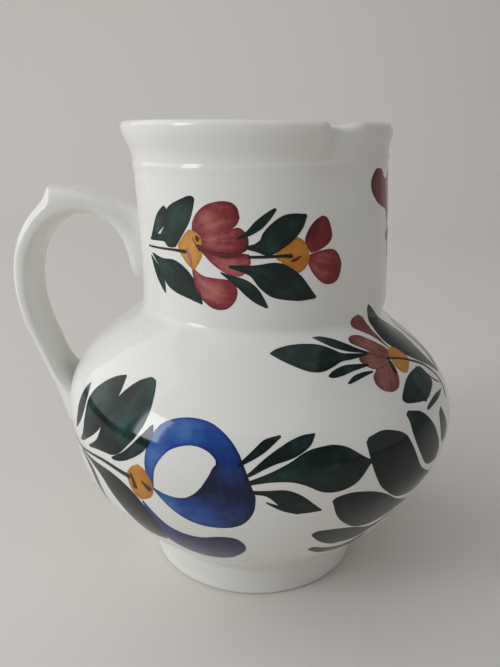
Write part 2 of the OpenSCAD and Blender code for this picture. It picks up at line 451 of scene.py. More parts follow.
crest = RIDGE_Z - RIDGE_ROUND
neck_wall = []
for i in range(NECK_ROWS + 1):
    height = mix(NECK_Z, RIDGE_Z, i / NECK_ROWS)
    swell = smooth((height - crest + RIDGE_SWELL) / RIDGE_SWELL)
    fall = math.sqrt(max(1 - (max(height - crest, 0) / RIDGE_ROUND) ** 2, 0))
    taper = mix(NECK_R, NECK_TOP_R, min((height - NECK_Z) / (NECK_TAPER_Z - NECK_Z), 1))
    neck_wall.append((taper + RIDGE_OUT * swell * fall, height))
neck_outline = list(neck_wall)
neck_outline += [(NECK_LAP_R, RIDGE_Z), (NECK_LAP_R, RIDGE_Z + LAP), (NECK_R - WALL, RIDGE_Z + LAP)]
neck_outline += [(NECK_R - WALL, mix(RIDGE_Z, NECK_Z, i / THROAT_ROWS)) for i in range(THROAT_ROWS)]
neck_outline += [(NECK_R - WALL, NECK_Z - LAP + SLIP), (NECK_LAP_R - SLIP, NECK_Z - LAP + SLIP)]
neck_outline += [(NECK_LAP_R - SLIP, NECK_Z)]
neck = thrown("thrown_neck", neck_outline)
lift_ridge(neck, NECK_TAPER_Z)
shape_by_hand(neck)
neck.data.materials.append(glaze)
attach(neck, "root")
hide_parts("neck")

# Mouth: the flared collar with its rounded lip, and the pouring lip drawn out of it.
# Thrown as one ring of earthenware, pressed in at two valleys while soft so that the lip between
# them stands up steeper and higher, then luted on to the neck with a small ridge over the joint.
VALLEY_A = 61.0
VALLEY_STEEP = 7.0
VALLEY_SOFT = 16.0
RIM_R = 46.4
SPOUT_R = 44.1
LIP_R = 1.6
SPOUT_LIP_R = 2.4
SPOUT_UP = 0.8
VALLEY_IN = 2.9
VALLEY_DIP = 1.4
MOUTH_STEPS = 256
FLARE_ROWS = 24
LIP_ROWS = 14
INSIDE_ROWS = 14


def fold_at(angle):
    away = abs(angle) - VALLEY_A
    reach = VALLEY_STEEP if away > 0 else VALLEY_SOFT
    return math.cos(math.radians(90 * away / reach)) ** 2 if abs(away) < reach else 0.0


def lobe_at(angle):
    return 1 - smooth((abs(angle) - VALLEY_A + VALLEY_STEEP) / (2 * VALLEY_STEEP))


def mouth_section(angle):
    lobe, fold = lobe_at(angle), fold_at(angle)
    r = mix(RIM_R, SPOUT_R, lobe) - VALLEY_IN * fold
    lip = mix(LIP_R, SPOUT_LIP_R, lobe)
    top = RIM_Z + SPOUT_UP * lobe * (1 - min(abs(angle) / VALLEY_A, 1) ** 2) - VALLEY_DIP * fold
    low = RIDGE_Z + ridge_rise(angle)
    seat = low + LAP + SLIP
    inner = NECK_R - WALL
    points = [(NECK_LAP_R + SLIP, low)]
    for i in range(FLARE_ROWS + 1):
        t = i / FLARE_ROWS
        points.append((mix(NECK_TOP_R, r, smooth(t)), mix(low, top - lip, t)))
    points += arc((r - lip, top - lip), lip, 0, 180, LIP_ROWS)[1:]
    for i in range(1, INSIDE_ROWS + 1):
        t = i / INSIDE_ROWS
        points.append((mix(r - 2 * lip, inner, smooth(t)), mix(top - lip, seat, t)))
    points += [(NECK_LAP_R + SLIP, seat)]
    return points


section_n = len(mouth_section(0))
bpy.ops.object.select_all(action="DESELECT")
bpy.ops.mesh.primitive_torus_add(major_segments=MOUTH_STEPS, minor_segments=section_n,
                                 major_radius=RIM_R * MM, minor_radius=WALL * MM)
mouth = bpy.context.object
mouth.name = "mouth_ring"
for i in range(MOUTH_STEPS):
    angle = -180 + 360 * i / MOUTH_STEPS
    a = math.radians(angle)
    for k, (r, z) in enumerate(mouth_section(angle)):
        mouth.data.vertices[i * section_n + k].co = (r * math.cos(a) * MM, r * math.sin(a) * MM, z * MM)
edit_all()
face_outward()
shape_by_hand(mouth)
bpy.ops.object.shade_smooth_by_angle(angle=math.radians(40))
mouth.data.materials.append(glaze)
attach(mouth, "root")
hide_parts("rim_collar", "spout")

# Handle: a strap pulled from a lump of clay, bent while soft and pressed on to the neck and belly.
# A tongue of clay on its arch makes the thumb rest, its upper root is smeared down the neck, and its
# lower end is pressed to a rounded tail on the belly. Glazed with the rest.
RIB_POWER = 2 / 2.7
RIB_N = 48
RIB_STEPS = 4
SMEAR_FROM = 0.7
SMEAR_OVER = 1.2


# A rib: outer and inner edge as (x, z), half of the width, height of the thumb rest on it, how far that
# rest's corners are drawn back, and how much the clay is smeared out sideways at its foot
root_ribs = [
    (-40.6, 131.8, -40.4, 105.8, 10.6, 0, 0, 0.20), (-42.4, 131.9, -43.2, 106.4, 10.5, 0, 0, 0.16),
    (-43.8, 132.2, -44.7, 107.6, 10.4, 0, 0, 0.10), (-45.4, 132.7, -45.5, 110.2, 10.3, 0, 0, 0.05),
    (-47.0, 133.2, -46.4, 114.4, 10.2, 0, 0, 0), (-49.2, 134.0, -48.1, 119.9, 10.0, 0, 0, 0),
    (-51.8, 135.0, -50.8, 124.2, 10.0, 0, 0, 0), (-55.0, 136.1, -54.0, 127.1, 10.0, 0, 0, 0),
]
thumb_ribs = [
    (-58.8, 137.1, -57.0, 128.8, 10.0, 0.2, 0, 0), (-63.6, 137.4, -61.0, 129.3, 10.0, 1.0, 0.2, 0),
    (-68.3, 136.8, -64.6, 128.9, 10.0, 2.1, 0.8, 0), (-71.4, 135.8, -67.2, 128.1, 10.0, 3.2, 1.6, 0),
    (-73.4, 134.9, -68.8, 127.3, 10.0, 4.0, 2.2, 0), (-74.4, 134.4, -69.6, 126.9, 10.0, 4.2, 2.6, 0),
    (-75.1, 133.9, -70.2, 126.5, 10.0, 3.4, 2.4, 0), (-75.8, 133.4, -70.8, 126.1, 10.0, 1.9, 1.6, 0),
    (-77.0, 132.6, -71.9, 125.3, 10.0, 0.8, 0.7, 0), (-78.7, 131.1, -73.4, 123.9, 10.0, 0.2, 0.2, 0),
    (-80.7, 129.0, -75.0, 122.0, 10.0, 0, 0, 0),
]
strap_ribs = [
    (-83.4, 125.0, -76.7, 119.6, 10.0, 0, 0, 0), (-85.8, 119.8, -78.4, 115.9, 10.0, 0, 0, 0),
    (-87.4, 113.8, -79.9, 110.2, 10.0, 0, 0, 0), (-88.0, 107.0, -80.5, 103.4, 10.0, 0, 0, 0),
    (-87.5, 99.4, -80.1, 96.3, 10.0, 0, 0, 0), (-85.6, 90.9, -78.4, 89.0, 10.0, 0, 0, 0),
    (-82.5, 82.6, -76.0, 81.9, 10.0, 0, 0, 0.02), (-79.6, 75.2, -73.6, 74.8, 10.0, 0, 0, 0.08),
]
tail_ribs = [
    (-78.0, 70.6, -71.0, 70.4, 10.0, 0, 0, 0.20), (-76.3, 65.0, -66.5, 66.2, 10.0, 0, 0, 0.32),
    (-74.7, 58.4, -62.0, 61.0, 9.8, 0, 0, 0.38), (-73.4, 52.9, -61.0, 55.8, 9.2, 0, 0, 0.36),
    (-72.3, 50.0, -60.5, 52.6, 8.0, 0, 0, 0.30), (-70.2, 48.2, -60.0, 50.3, 6.4, 0, 0, 0.2),
]
ribs = way_between(root_ribs + thumb_ribs + strap_ribs + tail_ribs, RIB_STEPS)


def power(value):
    return math.copysign(abs(value) ** RIB_POWER, value)


bpy.ops.object.select_all(action="DESELECT")
bpy.ops.mesh.primitive_circle_add(vertices=RIB_N, radius=ribs[0][4] * MM)
handle = bpy.context.object
handle.name = "pulled_handle"
edit_all()
for rib in ribs[1:]:
    bpy.ops.mesh.extrude_region_move()
bpy.ops.object.mode_set(mode="OBJECT")
for i, (outer_x, outer_z, inner_x, inner_z, half, thumb, back, smear) in enumerate(ribs):
    for k in range(RIB_N):
        c = power(math.cos(2 * math.pi * k / RIB_N))
        s = power(math.sin(2 * math.pi * k / RIB_N))
        on_top = smooth(c)
        x = (outer_x + inner_x) / 2 + c * (outer_x - inner_x) / 2 + back * s * s * on_top
        y = half * s * (1 + smear * smooth((SMEAR_FROM - c) / SMEAR_OVER))
        z = (outer_z + inner_z) / 2 + c * (outer_z - inner_z) / 2 + thumb * on_top
        handle.data.vertices[i * RIB_N + k].co = (x * MM, y * MM, z * MM)
edit_all()
bpy.ops.mesh.fill_holes(sides=0)
face_outward()
bpy.ops.object.shade_smooth_by_angle(angle=math.radians(50))
handle.data.materials.append(glaze)
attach(handle, "root")
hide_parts("handle_strap", "thumb_rest", "upper_root", "lower_root")

# Neck spray: a wine-red flower and its bud among dark leaves, a common country pattern.
# Painted freehand with metal-oxide colours under the clear glaze. A leaf or petal is given by a path
# of angle round the jug, height and width, or by its two edges, each of angle and height.
PAINT_LIFT = 0.035
PAINT_LAYER = 0.014
PAINT_T = 0.16
LIFT_TRIES = 8
SLOPE_STEP = 0.4
outside = foot_side[:-1] + spring[:-1] + bowl_curve + shoulder_curve[1:] + fillet[1:] + neck_wall
outside_z = np.array([p[1] for p in outside])
outside_r = np.array([p[0] for p in outside])


def wall_r(angle, z):
    before_lift = z
    for again in range(LIFT_TRIES if z > NECK_TAPER_Z else 0):
        share = smooth((before_lift - NECK_TAPER_Z) / (RIDGE_Z - NECK_TAPER_Z))
        before_lift = z - ridge_rise(angle) * share
    return float(np.interp(before_lift, outside_z, outside_r))


def wall_point(angle, z):
    a = math.radians(angle)
    r = wall_r(angle, z)
    return np.array((r * math.cos(a), r * math.sin(a), z))


def wall_normal(point):
    x, y, z = point
    angle = math.degrees(math.atan2(y, x))
    slope = (wall_r(angle, z + SLOPE_STEP) - wall_r(angle, z - SLOPE_STEP)) / (2 * SLOPE_STEP)
    way = np.array((x / math.hypot(x, y), y / math.hypot(x, y), -slope))
    return way / np.linalg.norm(way)


def seated(point, lift):
    on_wall = wall_point(math.degrees(math.atan2(point[1], point[0])), point[2])
    x, y, z = on_wall + lift * wall_normal(on_wall)
    x, y, z = by_hand(x, y, z)
    return (x * MM, y * MM, z * MM)


CAP = 0.42
CAP_ROWS = 5
BLADE_ROWS = 30
EDGE_POOL = 0.28
CELL_W = 1.1
CELL_L = 0.9
FEWEST_ACROSS = 4
MOST_ACROSS = 14
FEWEST_ALONG = 8
MOST_ALONG = 60
THIN_W = 0.12
TIP_W = 0.03
PATH_STEPS = 8
EDGE_STEPS = 6


# Colour dries thicker along a stroke's edges, so the tone deepens there
def lay_paint(left, right, material, tones, tilt, layer):
    span = len(left)
    widest = np.linalg.norm(left - right, axis=1).max()
    across = int(min(max(widest / CELL_W + 3, FEWEST_ACROSS), MOST_ACROSS))
    bpy.ops.object.select_all(action="DESELECT")
    bpy.ops.mesh.primitive_grid_add(x_subdivisions=span - 1, y_subdivisions=across, size=0.01)
    paint = bpy.context.object
    tone = paint.data.attributes.new("tone", "FLOAT", "POINT")
    level = np.interp(np.linspace(0, 1, span), np.linspace(0, 1, len(tones)), tones)
    for i in range(span):
        for j in range(across + 1):
            v = 2 * j / across - 1
            point = right[i] + (left[i] - right[i]) * j / across
            paint.data.vertices[j * span + i].co = seated(point, PAINT_LIFT + PAINT_LAYER * layer)
            tone.data[j * span + i].value = level[i] + tilt * v + EDGE_POOL * (v ** 4 - 0.2)
    paint.data.materials.append(material)
    return paint


def evenly(points, count):
    gone = np.concatenate(([0], np.cumsum(np.linalg.norm(np.diff(points, axis=0), axis=1))))
    places = np.linspace(0, gone[-1], count)
    return np.stack([np.interp(places, gone, points[:, axis]) for axis in range(3)], axis=1)


# A stroke follows a path with a width; its two ends are round, as the brush leaves them
def brush_stroke(path, material, tones, tilt, layer):
    rows = way_between(path, PATH_STEPS)
    centre = np.array([wall_point(row[0], row[1]) for row in rows])
    width = np.maximum(rows[:, 2], THIN_W)
    gone = np.concatenate(([0], np.cumsum(np.linalg.norm(np.diff(centre, axis=0), axis=1))))
    length = gone[-1]
    count = int(min(max(length / CELL_L, FEWEST_ALONG), MOST_ALONG))
    swing = [math.pi / 2 * (1 - i / CAP_ROWS) for i in range(CAP_ROWS)]
    places = [(-CAP * width[0] * math.sin(s), width[0] * math.cos(s)) for s in swing]
    for i in range(count + 1):
        place = length * i / count
        places.append((place, float(np.interp(place, gone, width))))
    places += [(length + CAP * width[-1] * math.sin(s), width[-1] * math.cos(s)) for s in swing[::-1]]
    start_way = (centre[1] - centre[0]) / np.linalg.norm(centre[1] - centre[0])
    end_way = (centre[-1] - centre[-2]) / np.linalg.norm(centre[-1] - centre[-2])
    spine = []
    for place, wide in places:
        on_path = np.array([np.interp(place, gone, centre[:, axis]) for axis in range(3)])
        spine.append(on_path + start_way * min(place, 0) + end_way * max(place - length, 0))
    ways = np.gradient(np.array(spine), axis=0)
    left, right = [], []
    for point, way, (place, wide) in zip(spine, ways, places):
        side = np.cross(wall_normal(point), way)
        side *= max(wide, TIP_W) / 2 / np.linalg.norm(side)
        left.append(point + side)
        right.append(point - side)
    return lay_paint(np.array(left), np.array(right), material, tones, tilt, layer)


# A blade is a leaf or petal given by its two edges, put in the order that makes it face outwards
def blade(left_edge, right_edge, material, tones, tilt, layer):
    edges = []
    for edge in (left_edge, right_edge):
        points = np.array([wall_point(*row) for row in way_between(edge, EDGE_STEPS)])
        edges.append(evenly(points, BLADE_ROWS))
    middle = BLADE_ROWS // 2
    way = edges[0][middle + 1] - edges[0][middle - 1]
    to_left = np.cross(wall_normal(edges[0][middle]), way)
    if np.dot(to_left, edges[0][middle] - edges[1][middle]) < 0:
        edges.reverse()
    return lay_paint(*edges, material, tones, tilt, layer)


def spray(name, strokes):
    made = [(brush_stroke if len(stroke) == 5 else blade)(*stroke) for stroke in strokes]
    bpy.ops.object.select_all(action="DESELECT")
    for stroke in made:
        stroke.select_set(True)
    bpy.context.view_layer.objects.active = made[0]
    bpy.ops.object.join()
    piece = bpy.context.object
    piece.name = name
    coat = piece.modifiers.new("coat of paint", "SOLIDIFY")
    coat.thickness = PAINT_T * MM
    coat.offset = -1
    bpy.ops.object.modifier_apply(modifier=coat.name)
    bpy.ops.object.shade_smooth_by_angle(angle=math.radians(40))
    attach(piece, "root")
    return piece


def other_side(piece, name):
    bpy.ops.object.select_all(action="DESELECT")
    piece.select_set(True)
    bpy.context.view_layer.objects.active = piece
    bpy.ops.object.duplicate()
    copy = bpy.context.object
    copy.name = name
    for vertex in copy.data.vertices:
        vertex.co.y = -vertex.co.y
    edit_all()
    bpy.ops.mesh.flip_normals()
    bpy.ops.object.mode_set(mode="OBJECT")
    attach(copy, "root")


HAIRS_ACROSS = 7.0
HAIRS_SHIFT = 40
POOL_SCALE = 170


# Streaks along the brush, and clouds where the colour pooled, as a change of tone
def brush_marks_group():
    marks_in = ("Tone", "Streak", "Pool")
    group, given, result = new_group("brush marks", marks_in, ("Along", "Place"), ("Tone",))
    nodes, links = group.nodes, group.links
    stretch = nodes.new("ShaderNodeMapping")
    stretch.inputs["Scale"].default_value = (1.0, HAIRS_ACROSS, 1.0)
    links.new(given["Along"], stretch.inputs["Vector"])
    shift = nodes.new("ShaderNodeVectorMath")
    shift.operation = "MULTIPLY_ADD"
    shift.inputs[1].default_value = (HAIRS_SHIFT, HAIRS_SHIFT, HAIRS_SHIFT)
    links.new(given["Place"], shift.inputs[0])
    links.new(stretch.outputs["Vector"], shift.inputs[2])
    hairs = noise(nodes, links, shift.outputs["Vector"], 1.0, 3)
    pools = noise(nodes, links, given["Place"], POOL_SCALE, 3)
    total = given["Tone"]
    for texture, amount in ((hairs, "Streak"), (pools, "Pool")):
        off_middle = worked_out(nodes, links, "SUBTRACT", texture, 0.5)
        total = worked_out(nodes, links, "MULTIPLY_ADD", off_middle, given[amount], total)
    links.new(total, result["Tone"])
    return group


brush_marks = brush_marks_group()


def pigment(name, thin, full, deep, streak, pool):
    material, nodes, links = new_material(name)
    place, skin, shader = glaze_nodes(nodes, links)
    tone = nodes.new("ShaderNodeAttribute")
    tone.attribute_name = "tone"
    along = nodes.new("ShaderNodeUVMap")
    along.uv_map = "UVMap"
    marks = nodes.new("ShaderNodeGroup")
    marks.node_tree = brush_marks
    marks.inputs["Streak"].default_value = streak
    marks.inputs["Pool"].default_value = pool
    links.new(tone.outputs["Fac"], marks.inputs["Tone"])
    links.new(along.outputs["UV"], marks.inputs["Along"])
    links.new(place.outputs["Object"], marks.inputs["Place"])
    ramp = nodes.new("ShaderNodeValToRGB")
    ramp.color_ramp.elements[0].color = thin
    ramp.color_ramp.elements[1].color = deep
    middle = ramp.color_ramp.elements.new(0.5)
    middle.color = full
    links.new(marks.outputs["Tone"], ramp.inputs["Fac"])
    links.new(ramp.outputs["Color"], shader.inputs["Base Color"])
    return material


leaf = pigment("leaf_green", colour(36, 76, 70), colour(13, 34, 30), colour(4, 11, 10), 0.35, 1.0)
wine = pigment("wine_red", colour(186, 116, 112), colour(130, 43, 48), colour(72, 16, 21), 0.4, 0.9)
ochre = pigment("ochre", colour(220, 168, 84), colour(198, 134, 44), colour(150, 86, 24), 0.4, 0.5)
line = pigment("dark_line", colour(60, 40, 40), colour(34, 28, 28), colour(16, 14, 14), 0.3, 0.3)

MID = (0.5,)
neck_strokes = [
    ([(-145.9, 124.4), (-144.1, 126.8), (-141.9, 129.6), (-139.2, 132.6), (-136.4, 134.4), (-134.0, 135.6)],
     [(-144.7, 124.2), (-140.2, 126.4), (-137.0, 128.1), (-135.0, 129.2), (-133.2, 131.0), (-132.0, 133.3),
      (-132.4, 134.9), (-133.8, 135.5)], leaf, (0.6, 0.4, 0.45), 0.05, 1),
    ([(-145.7, 124.6, 0.9), (-142.2, 125.3, 2.0), (-139.0, 125.6, 2.2), (-134.9, 125.8, 2.4)],
     leaf, (0.7, 0.6), 0.0, 0),
    ([(-130.5, 123.2), (-133.2, 123.3), (-135.5, 124.9), (-137.4, 126.8), (-135.6, 128.4), (-134.2, 129.9),
      (-133.0, 132.3), (-131.9, 134.8), (-128.8, 136.5), (-124.7, 137.8), (-121.0, 138.9), (-119.1, 139.2)],
     [(-128.4, 123.5), (-126.3, 125.5), (-123.1, 128.6), (-120.6, 131.2), (-118.8, 134.2), (-117.8, 136.6),
      (-117.3, 138.4), (-118.1, 139.0)], leaf, (0.6, 0.5, 0.4, 0.6), -0.12, 0),
    ([(-148.3, 122.0, 0.6), (-138.3, 122.3, 0.7), (-130.0, 122.6, 0.8), (-123.2, 122.6, 1.2)],
     line, (0.4, 0.8), 0.0, 3),
    ([(-146.5, 118.9, 0.7), (-142.1, 115.1, 3.6), (-139.1, 111.9, 3.6), (-136.8, 107.5, 0.7)],
     leaf, (0.55, 0.4), 0.0, 1),
    ([(-145.2, 119.9, 0.6), (-138.6, 117.6, 3.8), (-133.1, 115.5, 9.1), (-127.4, 113.4, 10.0),
      (-122.1, 110.6, 7.6), (-118.3, 107.4, 3.4), (-116.7, 105.7, 0.9)],
     leaf, (0.5, 0.45, 0.65, 0.6), 0.1, 0),
    ([(-120.8, 129.4), (-123.2, 127.9), (-125.4, 126.0), (-127.0, 124.4), (-126.6, 122.6), (-124.9, 120.8),
      (-122.5, 118.8), (-120.4, 117.6)],
     [(-119.9, 129.3), (-117.2, 128.6), (-115.6, 127.3), (-115.2, 125.2), (-115.2, 123.2), (-115.6, 121.5),
      (-117.3, 119.4), (-119.3, 117.5)], ochre, (0.6, 0.4, 0.4, 0.55), 0.0, 2),
    ([(-119.5, 128.7), (-119.0, 131.6), (-116.6, 134.5), (-112.4, 136.9), (-106.8, 138.1),
      (-102.2, 137.9), (-99.8, 136.3), (-99.1, 133.7)],
     [(-118.8, 128.3), (-114.9, 128.1), (-111.0, 128.4), (-107.6, 128.9), (-104.4, 129.7),
      (-102.0, 130.6), (-100.3, 131.7), (-99.3, 133.2)],
     wine, (0.7, 0.45, 0.35, 0.45, 0.65, 0.9), 0.06, 0),
    ([(-115.6, 124.2), (-110.2, 123.1), (-105.8, 122.6), (-100.6, 122.8), (-96.5, 123.4),
      (-95.7, 122.7), (-95.5, 121.2)],
     [(-115.4, 123.0), (-112.1, 120.5), (-108.3, 118.4), (-104.2, 117.0), (-99.9, 116.7),
      (-96.8, 118.6), (-95.6, 120.6)], wine, (0.8, 0.5, 0.35, 0.45, 0.7), 0.14, 0),
    ([(-116.3, 128.3), (-112.8, 128.6), (-107.8, 129.3), (-102.9, 130.3), (-99.6, 130.9), (-97.2, 129.6),
      (-96.1, 127.7), (-96.1, 126.0)],
     [(-116.0, 124.4), (-112.4, 123.9), (-108.0, 123.3), (-103.7, 122.9), (-100.1, 123.2), (-97.4, 124.2),
      (-96.4, 125.1), (-96.2, 125.7)], wine, (0.55, 0.35, 0.3, 0.45, 0.85, 0.95), -0.05, 1),
    ([(-115.0, 124.0, 0.5), (-109.1, 123.1, 1.3), (-103.7, 122.7, 1.5), (-97.6, 123.3, 0.4)],
     wine, (0.85, 0.95), 0.0, 2),
    ([(-120.5, 117.5), (-119.9, 114.0), (-118.3, 110.4), (-115.4, 106.8), (-110.8, 103.8),
      (-105.7, 104.5), (-102.4, 108.3), (-101.5, 110.4)],
     [(-119.6, 117.8), (-115.4, 116.0), (-109.6, 115.6), (-104.8, 115.5), (-102.2, 114.5),
      (-101.2, 112.5), (-101.3, 111.1)], wine, (0.3, 0.3, 0.4, 0.55, 0.8), -0.12, 0),
    ([(-117.7, 127.5, 0.7), (-117.2, 126.9, 1.7), (-117.1, 126.2, 0.9)], wine, (0.95,), 0.0, 3),
    ([(-119.3, 127.2, 0.3), (-118.9, 126.2, 0.4), (-118.1, 125.4, 0.4), (-117.4, 124.9, 0.3)],
     wine, (0.9,), 0.0, 3),
    ([(-117.6, 124.9, 0.8), (-116.2, 124.3, 2.0), (-114.8, 123.6, 1.3)], wine, (0.95,), 0.0, 3),
    ([(-122.5, 123.6, 0.8), (-121.3, 121.4, 1.3), (-120.5, 118.2, 0.6)], wine, (0.1,), 0.0, 3),
    ([(-100.3, 127.7, 0.6), (-96.1, 129.3, 1.6), (-92.1, 131.7, 2.7), (-88.3, 134.3, 2.1),
      (-85.6, 136.2, 0.9)], leaf, (0.7, 0.55), 0.0, 3),
    ([(-96.4, 125.2, 1.2), (-93.1, 125.3, 2.6), (-89.2, 125.9, 6.0), (-85.0, 128.6, 7.5),
      (-80.4, 131.3, 7.3), (-76.5, 133.1, 4.8), (-73.9, 134.4, 1.4)],
     leaf, (0.8, 0.45, 0.55, 0.85), 0.0, 3),
    ([(-96.1, 122.5, 0.9), (-89.8, 122.7, 0.9), (-83.6, 123.0, 1.0), (-79.8, 123.0, 1.3)],
     line, (0.2, 0.8), 0.0, 4),
    ([(-79.8, 121.4, 0.4), (-78.1, 121.9, 1.0), (-75.9, 122.9, 0.4)], wine, (0.8,), 0.0, 4),
    ([(-103.8, 119.4, 0.9), (-98.9, 119.0, 2.1), (-94.8, 118.4, 3.7), (-90.3, 117.1, 8.2),
      (-85.6, 115.8, 10.6), (-80.4, 114.0, 9.5), (-75.7, 112.1, 6.5), (-70.6, 110.4, 1.5)],
     leaf, (0.85, 0.5, 0.5, 0.75), 0.0, 3),
    ([(-107.5, 117.4, 0.5), (-103.7, 116.0, 1.8), (-99.1, 114.3, 3.6), (-95.3, 111.9, 4.2),
      (-92.2, 108.9, 3.0), (-89.9, 106.5, 1.0)], leaf, (0.8, 0.45, 0.65), 0.0, 3),
    ([(-84.2, 123.0, 3.0), (-81.2, 123.1, 8.0), (-78.4, 123.2, 10.8)], ochre, (0.6, 0.75), 0.0, 2),
    ([(-71.8, 123.7), (-74.1, 127.1), (-72.5, 130.6), (-69.8, 133.0), (-67.0, 134.3)],
     [(-71.6, 123.7), (-68.1, 124.4), (-64.2, 126.1), (-62.4, 128.3), (-63.1, 131.5), (-64.6, 133.8),
      (-66.4, 134.4)], wine, (0.6, 0.7, 0.8), 0.0, 0),
    ([(-72.2, 123.3), (-68.1, 124.2), (-62.7, 124.6), (-59.8, 123.3), (-57.9, 120.3), (-58.1, 118.3)],
     [(-73.0, 120.5), (-71.1, 117.7), (-67.7, 115.0), (-64.3, 114.0), (-60.2, 114.8), (-58.2, 117.5)],
     wine, (0.45, 0.45, 0.75), 0.0, 1),
]
neck_spray = spray("neck_spray", neck_strokes)
other_side(neck_spray, "neck_spray_back")

# Spout flower: a small upright tulip under each side of the pouring lip, with a short stem.
# Painted with the same wine red and leaf green under the glaze.
spout_strokes = [
    ([(-19.5, 131.8), (-20.9, 133.0), (-25.4, 134.6), (-32.0, 136.2), (-35.9, 137.9), (-38.7, 140.0),
      (-39.8, 142.0), (-39.6, 143.8), (-37.8, 145.7), (-35.6, 147.0), (-33.5, 147.2)],
     [(-19.3, 132.2), (-20.0, 135.0), (-22.0, 139.0), (-25.2, 143.9), (-26.5, 144.5), (-27.7, 145.8),
      (-29.6, 146.9), (-32.7, 147.2)], wine, (0.8, 0.65, 0.75, 0.9), 0.12, 0),
    ([(-19.0, 131.8), (-22.0, 136.0), (-24.5, 140.5), (-25.0, 143.7), (-20.5, 144.2), (-17.0, 145.6),
      (-13.5, 146.9)],
     [(-18.6, 131.9), (-12.5, 133.8), (-6.5, 136.6), (-3.0, 140.0), (-2.6, 143.2), (-5.0, 145.8),
      (-10.5, 147.0)], wine, (0.8, 0.6, 0.7), 0.0, 1),
    ([(-22.0, 134.0, 0.6), (-19.6, 132.0, 2.4), (-17.4, 133.6, 0.6)], line, (0.7,), 0.0, 2),
    ([(-19.6, 132.0, 0.9), (-19.2, 128.0, 0.8), (-19.4, 124.0, 0.9), (-18.6, 118.5, 1.0)],
     line, MID, 0.0, 1),
    ([(-19.2, 123.4, 0.7), (-21.6, 125.4, 2.0), (-20.6, 127.2, 0.5)], leaf, (0.8,), 0.0, 2),
    ([(-18.9, 123.2, 0.7), (-15.4, 125.2, 2.0), (-13.0, 127.2, 0.5)], leaf, (0.8,), 0.0, 2),
]
spout_flower = spray("spout_flower", spout_strokes)
other_side(spout_flower, "spout_flower_back")

